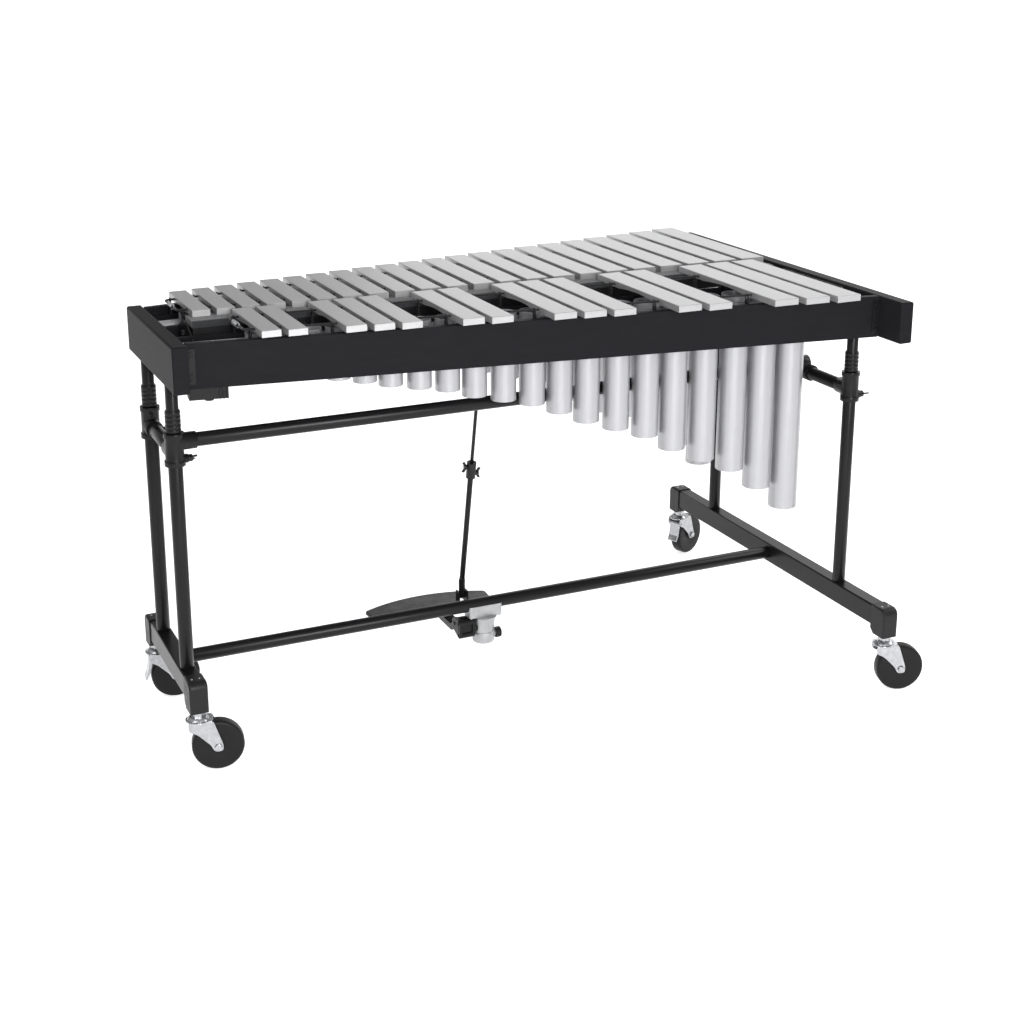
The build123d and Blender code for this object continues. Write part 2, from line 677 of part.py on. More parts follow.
def caster_wheel(place):
    """Solid tyre on a hub, bored for the axle bolt."""
    half = WHEEL_W / 2
    wheel = rod(TRAIL, -half, WHEEL_R, "Y", WHEEL_R, WHEEL_W)
    wheel = fillet(wheel.edges(), 5)
    for start in (-half, half - 3):
        wheel -= pipe(TRAIL, start, WHEEL_R, "Y", 36, 14, 3)
    return place * (wheel - rod(TRAIL, -WHEEL_W, WHEEL_R, "Y", AXLE_R + CLEAR, 2 * WHEEL_W))


def brake_lever(place):
    """Foot tab that turns on a cross pin in the fork and closes on the tread."""
    px, pz = BRAKE_PIVOT
    half = FORK_HALF + FORK_T
    lever = rod(px, -FORK_HALF + GAP, pz, "Y", 5, 2 * (FORK_HALF - GAP))
    lever += rod(px, -half - 1, pz, "Y", BRAKE_PIN_R, 2 * half + 2)
    outline = [(px - 4, pz + 2), (px + 1, pz - 4), (px - 5, pz - 30), (px - 12, pz - 42), (px - 14, pz - 39),
               (px - 9, pz - 28)]
    wire = Polyline(*[(a, -12, b) for a, b in outline], close=True)
    return place * (lever + extrude(make_face(wire), 24, dir=(0, 1, 0)))


# ---- Wing bolts ---------------------------------------------------------------------------------
BOLT_R = 3.0


def wing_shape(reach, hub_r, hub_l):
    """Wing bolt along +X: the hub starts at the origin and the shank points back."""
    wing = rod(0, 0, 0, "X", hub_r, hub_l)
    for side in (-1, 1):
        outline = [(1.5, side * hub_r * 0.5), (hub_l, side * hub_r * 0.5),
                   (hub_l + reach * 0.45, side * reach),
                   (hub_l * 0.6 + reach * 0.2, side * (reach + 1.5)), (1.5, side * hub_r * 1.1)]
        wire = Polyline(*[(a, -1.5, b) for a, b in outline], close=True)
        wing += extrude(make_face(wire), 3, dir=(0, 1, 0))
    return wing


def leg_wing_bolt(end, side, y, turn):
    x = end * LEG_X
    face = x + COLLAR_OD / 2 + 6
    bolt = wing_shape(13, 6.5, 9)
    bolt += rod(LEG_OD / 2 - COLLAR_OD / 2 - 6 + GAP, 0, 0, "X", BOLT_R, COLLAR_OD / 2 + 7 - LEG_OD / 2)
    return Pos(face + GAP, side * y, LOCK_Z) * Rot(turn, 0, 0) * bolt


# ---- Pull rod -----------------------------------------------------------------------------------
ROD_LEAN = math.degrees(math.atan2(ROD_FOOT_Y - ROD_HEAD_Y, ROD_HEAD_Z - ROD_FOOT_Z))
ROD_LENGTH = math.hypot(ROD_FOOT_Y - ROD_HEAD_Y, ROD_HEAD_Z - ROD_FOOT_Z)
ROD_PIN_R = 3.0
ROD_EYE_HALF = 4.0
UPPER_ROD_R = 3.5
LOWER_ROD_R = 5.5
LOWER_BORE_R = 4.5
ROD_CLAMP_START = 245.0    # measured along the rod from its lower pin
ROD_CLAMP_L = 34.0
ROD_CLAMP_R = 9.5
FOOT_PLACE = Pos(ROD_X, ROD_FOOT_Y, ROD_FOOT_Z) * Rot(ROD_LEAN, 0, 0)


def upper_pull_rod():
    """Thin rod with an eye on the damper's pin; its lower end slides in the lower rod."""
    start = 130.0
    body = rod(0, 0, start, "Z", UPPER_ROD_R, ROD_LENGTH - start - 8)
    body += block(-ROD_EYE_HALF, ROD_EYE_HALF, -5, 5, ROD_LENGTH - 12, ROD_LENGTH)
    body += rod(-ROD_EYE_HALF, 0, ROD_LENGTH, "X", 6, 2 * ROD_EYE_HALF)
    body -= rod(-9, 0, ROD_LENGTH, "X", ROD_PIN_R + CLEAR, 18)
    return FOOT_PLACE * body


def lower_pull_rod():
    """Tube with a flattened eye on the rod foot's pin."""
    body = pipe(0, 0, 14, "Z", LOWER_ROD_R, LOWER_BORE_R, ROD_CLAMP_START + ROD_CLAMP_L / 2 - 14)
    body += rod(0, 0, 9, "Z", LOWER_ROD_R, 8)
    body += block(-ROD_EYE_HALF, ROD_EYE_HALF, -5, 5, 0, 10)
    body += rod(-ROD_EYE_HALF, 0, 0, "X", 6, 2 * ROD_EYE_HALF)
    body -= rod(-9, 0, 0, "X", ROD_PIN_R + CLEAR, 18)
    return FOOT_PLACE * body


CLAMP_LOW = ROD_CLAMP_START + 9
CLAMP_HIGH = ROD_CLAMP_START + ROD_CLAMP_L - 9


def rod_clamp():
    """Sleeve that locks the upper rod in the lower one with two wing bolts."""
    middle = ROD_CLAMP_START + ROD_CLAMP_L / 2
    body = rod(0, 0, ROD_CLAMP_START, "Z", ROD_CLAMP_R, ROD_CLAMP_L)
    body -= rod(0, 0, ROD_CLAMP_START - 1, "Z", LOWER_ROD_R, middle - ROD_CLAMP_START + 1)
    body -= rod(0, 0, middle, "Z", LOWER_BORE_R, ROD_CLAMP_L)
    body -= rod(-ROD_CLAMP_R - 1, 0, CLAMP_HIGH, "X", 2.5 + CLEAR, ROD_CLAMP_R - LOWER_BORE_R)
    body -= rod(LOWER_ROD_R + 0.5, 0, CLAMP_LOW, "X", 2.5 + CLEAR, ROD_CLAMP_R)
    return FOOT_PLACE * body


def rod_wing_bolt(side, height):
    shank = ROD_CLAMP_R - LOWER_ROD_R - 1
    bolt = wing_shape(10, 4.5, 6) + rod(-shank, 0, 0, "X", 2.5, shank + 1)
    turn = Rot(0, 0, 0) if side > 0 else Rot(0, 0, 180)
    return FOOT_PLACE * Pos(side * (ROD_CLAMP_R + GAP), 0, height) * turn * bolt


def rod_foot():
    """Strap that hooks the pedal's pin in a long slot and carries the lower rod's pin."""
    inner = ROD_EYE_HALF + GAP
    y = ROD_FOOT_Y
    low = PEDAL_PIN_Z - 9
    split = PEDAL_PIN_Z + 11
    body = block(ROD_X - inner - 3, ROD_X + inner + 3, y - 11, y + 11, low, split)
    for side in (-1, 1):
        x0 = ROD_X + side * inner
        body += block(x0, x0 + side * 3, y - 8, y + 8, split, ROD_FOOT_Z + 5)
    slot_r = ROD_PIN_R + 0.4
    for shift in (-1, PEDAL_SLOT):
        body -= rod(ROD_X - 20, y + shift, PEDAL_PIN_Z, "X", slot_r, 40)
    body -= block(ROD_X - 20, ROD_X + 20, y - 1, y + PEDAL_SLOT, PEDAL_PIN_Z - slot_r, PEDAL_PIN_Z + slot_r)
    body += rod(ROD_X - inner - 4, y, ROD_FOOT_Z, "X", ROD_PIN_R, 2 * inner + 8)
    return body


# ---- Pedal --------------------------------------------------------------------------------------
PEDAL_SLOT = 4.0
PEDAL_T = 6.0
PEDAL_X0 = -241.0
PEDAL_X1 = 24.0
PEDAL_NEAR = 45.0
PEDAL_CORNER = 119.0
PEDAL_BULGE = 150.0
PIN_R = 4.0
ARM_X0 = -84.0
ARM_X1 = -62.0
CHEEK_T = 6.0


def pedal_plate():
    """Wide foot plate with a bowed player's edge; its pin is a second solid."""
    middle = (PEDAL_X0 + PEDAL_X1) / 2
    bow = ThreePointArc((PEDAL_X1, PEDAL_CORNER), (middle, PEDAL_BULGE), (PEDAL_X0, PEDAL_CORNER))
    sides = Polyline((PEDAL_X0, PEDAL_CORNER), (PEDAL_X0 + 6, PEDAL_NEAR), (PEDAL_X1 - 6, PEDAL_NEAR),
                     (PEDAL_X1, PEDAL_CORNER))
    outline = make_face(bow + sides)
    plate = Pos(0, 0, PEDAL_TOP - PEDAL_T) * extrude(outline, PEDAL_T)
    plate = fillet(plate.edges().filter_by(Axis.Z), 8)
    plate = fillet(plate.edges().group_by(Axis.Z)[-1], 2)
    hook = ROD_EYE_HALF + GAP + 3
    for side in (-1, 1):
        x0 = ROD_X + side * (hook + GAP)
        plate += block(x0, x0 + side * 3, ROD_FOOT_Y - 8, ROD_FOOT_Y + 8, PEDAL_TOP - 1, PEDAL_PIN_Z + 6)
    reach = hook + GAP + 4
    window = block(ROD_X - hook - GAP, ROD_X + hook + GAP, ROD_FOOT_Y - 16, ROD_FOOT_Y + 18, 0, PEDAL_TOP + 1)
    pin_hole = rod(ROD_X - reach, ROD_FOOT_Y, PEDAL_PIN_Z, "X", ROD_PIN_R, 2 * reach)
    return [plate - window - pin_hole, pin_hole]


def pedal_arm():
    """Curved lever from the pivot to the underside of the plate."""
    width = 14.0
    path = FilletPolyline((PEDAL_PIVOT_Y, PEDAL_PIVOT_Z), (45, 90), (112, 90), (124, 112), radius=14)
    face = trace(path, width)
    profile = Plane(origin=(ARM_X0, 0, 0), x_dir=(0, 1, 0), z_dir=(1, 0, 0))
    arm = extrude(profile * face, ARM_X1 - ARM_X0)
    arm += rod(ARM_X0, PEDAL_PIVOT_Y, PEDAL_PIVOT_Z, "X", 11, ARM_X1 - ARM_X0)
    arm += block(ARM_X0 - 12, ARM_X1 + 12, 96, 132, PEDAL_TOP - PEDAL_T - 5, PEDAL_TOP - PEDAL_T)
    arm -= block(ARM_X0 - 30, ARM_X1 + 30, 60, 160, PEDAL_TOP - PEDAL_T, PEDAL_TOP + 30)
    arm -= rod(ARM_X0 - 1, PEDAL_PIVOT_Y, PEDAL_PIVOT_Z, "X", PIN_R + CLEAR, ARM_X1 - ARM_X0 + 2)
    return arm


def pedal_bracket():
    """Clevis on the clamp's side, with the pedal's pivot pin as a second solid."""
    x0 = ARM_X0 - GAP - CHEEK_T
    x1 = ARM_X1 + GAP + CHEEK_T
    outline = [(-16, 86), (PEDAL_PIVOT_Y + 6, 98), (PEDAL_PIVOT_Y + 12, 108), (PEDAL_PIVOT_Y + 10, 122),
               (PEDAL_PIVOT_Y - 4, 126), (-16, 126)]
    body = side_plate(outline, x0, x0 + CHEEK_T) + side_plate(outline, x1 - CHEEK_T, x1)
    body += block(x0, x1, -16, -8, 86, 126)
    body += block(x1 - CHEEK_T, CLAMP_X, -14, 8, 98, 111)
    body -= rod(CLAMP_X, 0, 80, "Z", CLAMP_R, 60)
    pin = rod(x0 - 2, PEDAL_PIVOT_Y, PEDAL_PIVOT_Z, "X", PIN_R, x1 - x0 + 4)
    return [body - pin, pin]


SEAM_Z = 93.0
CLAMP_BOTTOM = 70.0
SADDLE_HALF = 36.0
KNOB_Z = 92.0


def pedal_clamp():
    """Cast saddle and barrel below the lower crossbar, with a ring locked by the knob."""
    saddle = block(CLAMP_X - SADDLE_HALF, CLAMP_X + SADDLE_HALF, -15, 15, 126, LOWER_BAR_Z)
    saddle = fillet(saddle.edges().filter_by(Axis.Z), 6)
    upper = saddle + rod(CLAMP_X, 0, SEAM_Z + 0.6, "Z", CLAMP_R, 126 - SEAM_Z)
    upper += Pos(CLAMP_X, 0, 119) * Cone(CLAMP_R, CLAMP_R + 6, 14)
    upper -= rod(-HALF, 0, LOWER_BAR_Z, "X", LEG_OD / 2, LENGTH)
    upper -= block(CLAMP_X - 80, CLAMP_X - CLAMP_R + 2, -20, 30, 95, 127)
    upper += rod(CLAMP_X, 0, SEAM_Z + 0.6, "Z", CLAMP_R, 30)
    ring = rod(CLAMP_X, 0, CLAMP_BOTTOM, "Z", CLAMP_R, SEAM_Z - CLAMP_BOTTOM)
    ring = fillet(ring.edges().group_by(Axis.Z)[0], 3)
    lug = rod(CLAMP_X, 0, KNOB_Z - 10, "X", 7, CLAMP_R + 3)
    ring += lug & block(CLAMP_X, CLAMP_X + 40, -9, 9, CLAMP_BOTTOM, SEAM_Z)
    ring -= rod(CLAMP_X + 12, 0, KNOB_Z - 10, "X", 3 + CLEAR, 30)
    return [upper, ring]


def pedal_knob():
    """Fluted hand knob whose screw locks the clamp's ring."""
    x = CLAMP_X + CLAMP_R + 3 + GAP
    z = KNOB_Z - 10
    knob = rod(x, 0, z, "X", 11, 12)
    knob = fillet(knob.edges(), 2)
    for k in range(6):
        angle = math.radians(60 * k)
        knob -= rod(x - 1, 12.5 * math.cos(angle), z + 12.5 * math.sin(angle), "X", 3.5, 14)
    return knob + rod(CLAMP_X + 14, 0, z, "X", 3, x - CLAMP_X - 13)


# ---- Write every node ---------------------------------------------------------------------------
save("small_end_panel", end_panel(-1, SMALL_PANEL_HALF, SMALL_PANEL_H))
save("large_end_panel", end_panel(1, LARGE_PANEL_HALF, LARGE_PANEL_H))
save("front_rail", board(-1))
save("rear_rail", board(1))
save("natural_rails", *[node_rail(f, 1) for f in FRACTIONS])
save("accidental_rails", *[node_rail(f, -1) for f in FRACTIONS])
CORNERS = [(end, side) for end in (-1, 1) for side in (-1, 1)]
save("rail_brackets", *[rail_bracket(*corner) for corner in CORNERS])
save("bracket_screws", *[head for corner in CORNERS for head in bracket_screws(*corner)])
save("corner_blocks", corner_block(-1), corner_block(1))

save("natural_bars", *[tone_bar(x, w, 1) for x, w in NATURAL_BARS])
save("accidental_bars", *[tone_bar(x, w, -1) for x, w in ACCIDENTAL_BARS])
save("cord_posts", *posts(NATURAL_POSTS, 1), *posts(ACCIDENTAL_POSTS, -1))
save("natural_cord", cord(NATURAL_POSTS, 1))
save("accidental_cord", cord(ACCIDENTAL_POSTS, -1))
save("cord_springs", cord_spring(NATURAL_POSTS, 1), cord_spring(ACCIDENTAL_POSTS, -1))

save("natural_resonators", *[resonator(x, length, 1) for x, length in NATURAL_TUBES])
save("accidental_resonators", *[resonator(x, length, -1) for x, length in ACCIDENTAL_TUBES])
save("dummy_resonators", *[resonator(x, length, -1) for x, length in DUMMY_TUBES])
save("resonator_stoppers",
     *[stopper(x, length, STOPPER_SKIRT, 1) for x, length in NATURAL_TUBES],
     *[stopper(x, length, STOPPER_SKIRT, -1) for x, length in ACCIDENTAL_TUBES + DUMMY_TUBES])
save("resonator_rails", *[bank_rail(side, edge) for side in (-1, 1) for edge in (-1, 1)])

save("damper_bar", damper_bar())
save("damper_felt", damper_felt())
save("damper_guides", damper_guide(-1), damper_guide(1))
save("damper_springs", *damper_springs())

save("leg_tubes", *[leg_tube(*leg) for leg in LEGS])
save("upper_posts", *[upper_post(*leg) for leg in LEGS])
save("height_rings", *[height_ring(*leg) for leg in LEGS])
save("leg_collars", *[leg_collar(*leg) for leg in LEGS], crossbar_tee())
save("side_crossbars", side_crossbar(-1, SMALL_LEG_Y), side_crossbar(1, LARGE_LEG_Y))
save("upper_crossbar", long_crossbar(-SMALL_LEG_Y, UPPER_BAR_Z, -LEG_X + BAR_END, LEG_X - BAR_END))
save("lower_crossbar", long_crossbar(0, LOWER_BAR_Z, -LEG_X + FOOT_W / 2, LEG_X - FOOT_W / 2))
save("feet", foot(-1, SMALL_LEG_Y, SMALL_STEMS), foot(1, LARGE_LEG_Y, LARGE_STEMS))

STEMS = [(-1, -1, SMALL_STEMS[0], -12), (-1, 1, SMALL_STEMS[1], -5), (1, -1, LARGE_STEMS[0], -18),
         (1, 1, LARGE_STEMS[1], 25)]
save("foot_end_caps", *[foot_cap(*stem[:3]) for stem in STEMS])
save("caster_stems", *[caster_stem(caster_place(*stem)) for stem in STEMS])
for name, stem in zip(LEG_NAMES, STEMS):
    place = caster_place(*stem)
    braked = stem[1] > 0
    save(f"caster_fork_{name}", *caster_fork(place, braked))
    save(f"caster_wheel_{name}", caster_wheel(place))
    if braked:
        save(f"brake_lever_{name}", brake_lever(place))
for name, leg, turn in zip(LEG_NAMES, LEGS, (60, 20, 75, 40)):
    save(f"wing_bolt_{name}", leg_wing_bolt(*leg, turn))

save("upper_pull_rod", upper_pull_rod())
save("lower_pull_rod", lower_pull_rod())
save("rod_clamp", rod_clamp())
save("rod_wing_bolt_upper", rod_wing_bolt(-1, CLAMP_HIGH))
save("rod_wing_bolt_lower", rod_wing_bolt(1, CLAMP_LOW))
save("rod_foot", rod_foot())
save("pedal_plate", *pedal_plate())
save("pedal_arm", pedal_arm())
save("pedal_bracket", *pedal_bracket())
save("pedal_clamp", *pedal_clamp())
save("pedal_knob", pedal_knob())

# The origin goes to the middle of everything in plan; the wheels already stand at Z = 0.
BOXES = [shape.bounding_box() for shape in NODES.values()]
SHIFT_X = -(min(b.min.X for b in BOXES) + max(b.max.X for b in BOXES)) / 2
SHIFT_Y = -(min(b.min.Y for b in BOXES) + max(b.max.Y for b in BOXES)) / 2
for node, shape in NODES.items():
    export_step(Pos(SHIFT_X, SHIFT_Y, 0) * shape, f"parts/{node}.step")
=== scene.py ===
import json
import math

import bmesh
import bpy
from mathutils import Matrix, Vector


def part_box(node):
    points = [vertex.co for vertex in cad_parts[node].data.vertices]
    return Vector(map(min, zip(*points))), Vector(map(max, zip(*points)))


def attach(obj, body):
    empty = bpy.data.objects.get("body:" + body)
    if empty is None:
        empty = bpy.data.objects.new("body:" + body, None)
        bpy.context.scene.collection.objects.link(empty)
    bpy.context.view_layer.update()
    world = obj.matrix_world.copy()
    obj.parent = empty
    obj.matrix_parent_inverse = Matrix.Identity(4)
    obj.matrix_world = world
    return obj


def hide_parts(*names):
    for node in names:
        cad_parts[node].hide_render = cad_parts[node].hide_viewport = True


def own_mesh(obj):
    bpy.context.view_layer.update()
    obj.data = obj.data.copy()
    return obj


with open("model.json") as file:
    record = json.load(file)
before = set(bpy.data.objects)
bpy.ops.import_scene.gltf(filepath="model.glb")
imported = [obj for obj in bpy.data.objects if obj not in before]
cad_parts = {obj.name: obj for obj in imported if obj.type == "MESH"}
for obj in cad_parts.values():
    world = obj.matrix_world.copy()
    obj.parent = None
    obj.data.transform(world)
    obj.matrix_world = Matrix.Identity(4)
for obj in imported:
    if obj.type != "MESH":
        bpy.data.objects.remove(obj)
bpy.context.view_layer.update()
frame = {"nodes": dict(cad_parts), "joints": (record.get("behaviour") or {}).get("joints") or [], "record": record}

# ---- Measures, in metres ------------------------------------------------------------------------
# The stand's middle is not the frame's origin, because the casters trail to one side.
LENGTH = 1.340
PANEL_LOW, PANEL_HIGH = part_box("small_end_panel")
MID_X = PANEL_LOW[0] + LENGTH / 2
MID_Y = (PANEL_LOW[1] + PANEL_HIGH[1]) / 2
CASTERS = ("small_front", "small_rear", "large_front", "large_rear")
MM = 0.001
ALONG_X = Vector((1, 0, 0))
ALONG_Y = Vector((0, 1, 0))
ALONG_Z = Vector((0, 0, 1))
JOINTS = {joint["name"]: joint for joint in frame["joints"]}


# ---- Materials ----------------------------------------------------------------------------------
# Most of a noise texture's values lie between these two.
NOISE_LOW = 0.3
NOISE_HIGH = 0.7


def surface(name, colour, roughness, metallic=0.0, tint=0.06, spread=0.06, grain=(60, 60, 60),
            bump=0.05, bump_grain=(900, 900, 900), depth=0.00005, sheen=0.0, specular=0.5):
    """Procedural finish: one noise varies colour and roughness, a finer one gives relief."""
    mat = bpy.data.materials.new(name)
    mat.use_nodes = True
    nodes = mat.node_tree.nodes
    link = mat.node_tree.links.new
    shader = nodes["Principled BSDF"]
    shader.inputs["Metallic"].default_value = metallic
    shader.inputs["Specular IOR Level"].default_value = specular
    shader.inputs["Sheen Weight"].default_value = sheen
    coords = nodes.new("ShaderNodeTexCoord")

    def noise(scale, detail):
        mapping = nodes.new("ShaderNodeMapping")
        mapping.inputs["Scale"].default_value = scale
        texture = nodes.new("ShaderNodeTexNoise")
        texture.inputs["Scale"].default_value = 1.0
        texture.inputs["Detail"].default_value = detail
        link(coords.outputs["Object"], mapping.inputs["Vector"])
        link(mapping.outputs["Vector"], texture.inputs["Vector"])
        return texture.outputs["Fac"]

    broad = noise(grain, 4.0)
    ramp = nodes.new("ShaderNodeValToRGB")
    ramp.color_ramp.elements[0].position = NOISE_LOW
    ramp.color_ramp.elements[1].position = NOISE_HIGH
    for element, factor in zip(ramp.color_ramp.elements, (1 - tint, 1 + tint)):
        element.color = [min(1.0, c * factor) for c in colour] + [1.0]
    link(broad, ramp.inputs["Fac"])
    link(ramp.outputs["Color"], shader.inputs["Base Color"])
    spread_map = nodes.new("ShaderNodeMapRange")
    spread_map.inputs["From Min"].default_value = NOISE_LOW
    spread_map.inputs["From Max"].default_value = NOISE_HIGH
    spread_map.inputs["To Min"].default_value = roughness - spread
    spread_map.inputs["To Max"].default_value = roughness + spread
    link(broad, spread_map.inputs["Value"])
    link(spread_map.outputs["Result"], shader.inputs["Roughness"])
    relief = nodes.new("ShaderNodeBump")
    relief.inputs["Strength"].default_value = bump
    relief.inputs["Distance"].default_value = depth
    link(noise(bump_grain, 2.0), relief.inputs["Height"])
    link(relief.outputs["Normal"], shader.inputs["Normal"])
    return mat


BLACK = (0.0062, 0.0061, 0.0068)
MATERIALS = {
    "black_frame": surface("satin_black_enamel", BLACK, 0.34, bump=0.1, bump_grain=(1500, 1500, 1500),
                           specular=0.2),
    "black_wood": surface("satin_black_lacquer", (0.0125, 0.0120, 0.0138), 0.40, tint=0.05, spread=0.02,
                          grain=(10, 120, 120), bump=0.06, bump_grain=(90, 1400, 1400), specular=0.025),
    "black_anodised": surface("black_anodised_channel", (0.012, 0.012, 0.013), 0.45, metallic=0.4,
                              grain=(12, 400, 400), bump=0.1, specular=0.3),
    "black_tube": surface("black_tube_enamel", BLACK, 0.30, tint=0.03, spread=0.01, grain=(20, 20, 20),
                          bump=0.02, bump_grain=(700, 700, 700), specular=0.2),
    "bar_silver": surface("anodised_bar", (0.45, 0.45, 0.455), 0.42, metallic=0.75, tint=0.09, spread=0.05,
                          grain=(900, 12, 900), bump=0.2, bump_grain=(2500, 30, 2500)),
    "tube_silver": surface("satin_tube", (0.39, 0.39, 0.405), 0.34, metallic=0.6, tint=0.03, spread=0.03,
                           grain=(500, 500, 8), bump=0.15, bump_grain=(2200, 2200, 25)),
    "bright_steel": surface("plated_steel", (0.42, 0.425, 0.44), 0.22, metallic=0.9, tint=0.12,
                            grain=(120, 120, 120), bump=0.05),
    "cast_silver": surface("blasted_casting", (0.37, 0.375, 0.38), 0.38, metallic=0.7, tint=0.12,
                           bump=0.4, bump_grain=(1400, 1400, 1400), depth=0.0001),
    "black_plastic": surface("moulded_plastic", (0.008, 0.008, 0.009), 0.42, bump=0.25,
                             bump_grain=(1600, 1600, 1600), specular=0.25),
    "black_tyre": surface("solid_tyre", (0.0065, 0.0063, 0.007), 0.42, tint=0.15, spread=0.06,
                          grain=(35, 35, 35), bump=0.1, specular=0.2),
    "black_cord": surface("braided_cord", (0.012, 0.012, 0.013), 0.85, tint=0.3, grain=(1500, 1500, 1500),
                          bump=0.8, bump_grain=(1500, 1500, 1500), depth=0.0003, sheen=0.2, specular=0.2),
    "grey_felt": surface("pressed_felt", (0.035, 0.036, 0.039), 0.93, tint=0.2, spread=0.04,
                         grain=(300, 300, 300), bump=1.0, bump_grain=(700, 700, 700), depth=0.0006,
                         sheen=0.3, specular=0.15),
}
SLOT_OF = {row["node"]: row["material_slot"] for row in frame["record"]["subparts"]}


# ---- Mesh helpers -------------------------------------------------------------------------------
# Angles are in degrees; points nearer than SAME_PLACE are one point.
SHARP_ANGLE = 35
BEVEL_ANGLE = 40
FLAT_ANGLE = 1.0
SAME_PLACE = 1e-6


def add_piece(name, mesh, slot, body, replaces=()):
    """Links a mesh as a piece of the object, riding on a body and finished like a slot."""
    piece = bpy.data.objects.new(name, mesh)
    bpy.context.scene.collection.objects.link(piece)
    mesh.materials.append(MATERIALS[slot])
    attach(piece, body)
    if replaces:
        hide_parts(*replaces)
    return piece


def smooth(mesh):
    """Smooth shading that keeps the sharp edges."""
    mesh.polygons.foreach_set("use_smooth", [True] * len(mesh.polygons))
    mesh.set_sharp_from_angle(angle=math.radians(SHARP_ANGLE))


def from_bmesh(name, bm):
    """Named mesh with its normals facing out; the bmesh is used up."""
    bmesh.ops.recalc_face_normals(bm, faces=bm.faces)
    mesh = bpy.data.meshes.new(name)
    bm.to_mesh(mesh)
    bm.free()
    smooth(mesh)
    return mesh


def sweep_wire(bm, points, radius, sides):
    """Round wire along a list of points, closed by a flat face at each end."""
    rings = []
    last = len(points) - 1
    nearly_parallel = 0.98
    normal = ALONG_Z
    for k, point in enumerate(points):
        ahead = points[min(k + 1, last)]
        behind = points[max(k - 1, 0)]
        along = (ahead - behind).normalized()
        if abs(along.dot(normal)) > nearly_parallel:
            normal = ALONG_X
        across = along.cross(normal).normalized()
        normal = across.cross(along).normalized()
        ring = []
        for s in range(sides):
            turn = 2 * math.pi * s / sides
            out = math.cos(turn) * across + math.sin(turn) * normal
            ring.append(bm.verts.new(point + radius * out))
        rings.append(ring)
    for a, b in zip(rings, rings[1:]):
        for s in range(sides):
            t = (s + 1) % sides
            bm.faces.new((a[s], a[t], b[t], b[s]))
    bm.faces.new(list(reversed(rings[0])))
    bm.faces.new(rings[-1])


def coil_points(centre, axis, length, radius, turns, steps=24):
    """Evenly wound helix about an axis square to X, with a number of steps to the turn."""
    side = ALONG_X
    other = axis.cross(side)
    total = int(turns * steps)
    points = []
    for k in range(total + 1):
        turn = 2 * math.pi * k / steps
        share = k / total
        along = (share - 0.5) * length
        out = math.cos(turn) * side + math.sin(turn) * other
        points.append(Vector(centre) + along * axis + radius * out)
    return points


def lathe(bm, profile, place, segments, bored=False):
    """Turned shape about the local Y axis from (radius, y) points; a bored profile closes on itself."""
    rings = []
    turns = [2 * math.pi * k / segments for k in range(segments)]
    for radius, y in profile:
        points = [Vector((radius * math.cos(t), y, radius * math.sin(t))) for t in turns]
        rings.append([bm.verts.new(place @ point) for point in points])
    pairs = list(zip(rings, rings[1:]))
    if bored:
        pairs.append((rings[-1], rings[0]))
    for a, b in pairs:
        for k in range(segments):
            m = (k + 1) % segments
            bm.faces.new((a[k], a[m], b[m], b[k]))
    if not bored:
        bm.faces.new(rings[0])
        bm.faces.new(list(reversed(rings[-1])))


def arc(centre, radius, start, end, steps=6):
    """Points of an arc, with angles in degrees."""
    angles = [math.radians(start + (end - start) * k / steps) for k in range(steps + 1)]
    return [(centre[0] + radius * math.cos(a), centre[1] + radius * math.sin(a)) for a in angles]


def rounded(corners, radius, steps=5):
    """Outline whose corners are eased over a distance, or over less where a side is short."""
    most = 0.45
    outline = []
    for k, corner in enumerate(corners):
        here = Vector(corner)
        before = Vector(corners[k - 1]) - here
        after = Vector(corners[(k + 1) % len(corners)]) - here
        start = here + before.normalized() * min(radius, most * before.length)
        end = here + after.normalized() * min(radius, most * after.length)
        for m in range(steps + 1):
            t = m / steps
            outline.append((1 - t) ** 2 * start + 2 * t * (1 - t) * here + t ** 2 * end)
    return outline


def plate(bm, outline, base, along_u, along_v, thickness):
    """Flat plate: the outline's (u, v) are laid along two vectors and thickened along the third."""
    across = along_u.cross(along_v).normalized() * thickness
    low = [bm.verts.new(base + p[0] * along_u + p[1] * along_v) for p in outline]
    high = [bm.verts.new(v.co + across) for v in low]
    bm.faces.new(list(reversed(low)))
    bm.faces.new(high)
    for k in range(len(low)):
        m = (k + 1) % len(low)
        bm.faces.new((low[k], low[m], high[m], high[k]))


def ease_edges(piece, width):
    """Rounds the piece's sharp edges, and gives back the modifier that does it."""
    rounding = piece.modifiers.new("rounding", "BEVEL")
    rounding.width = width
    rounding.segments = 2
    rounding.limit_method = "ANGLE"
    rounding.angle_limit = math.radians(BEVEL_ANGLE)
    return rounding


def upright(x, y, z):
    """Place for a turned shape that stands up from a point."""
    return Matrix.Translation((x, y, z)) @ Matrix.Rotation(math.pi / 2, 4, "X")


def downward(x, y, z):
    """Place for a turned shape that hangs from a point."""
    return Matrix.Translation((x, y, z)) @ Matrix.Rotation(-math.pi / 2, 4, "X")


def sideways(x, y, z):
    """Place for a turned shape that points along +X from a point."""
    return Matrix.Translation((x, y, z)) @ Matrix.Rotation(-math.pi / 2, 4, "Z")


def on_foot(low, high):
    """Place for a turned shape that stands in the middle of a box's lower side."""
    return upright((low[0] + high[0]) / 2, (low[1] + high[1]) / 2, low[2])


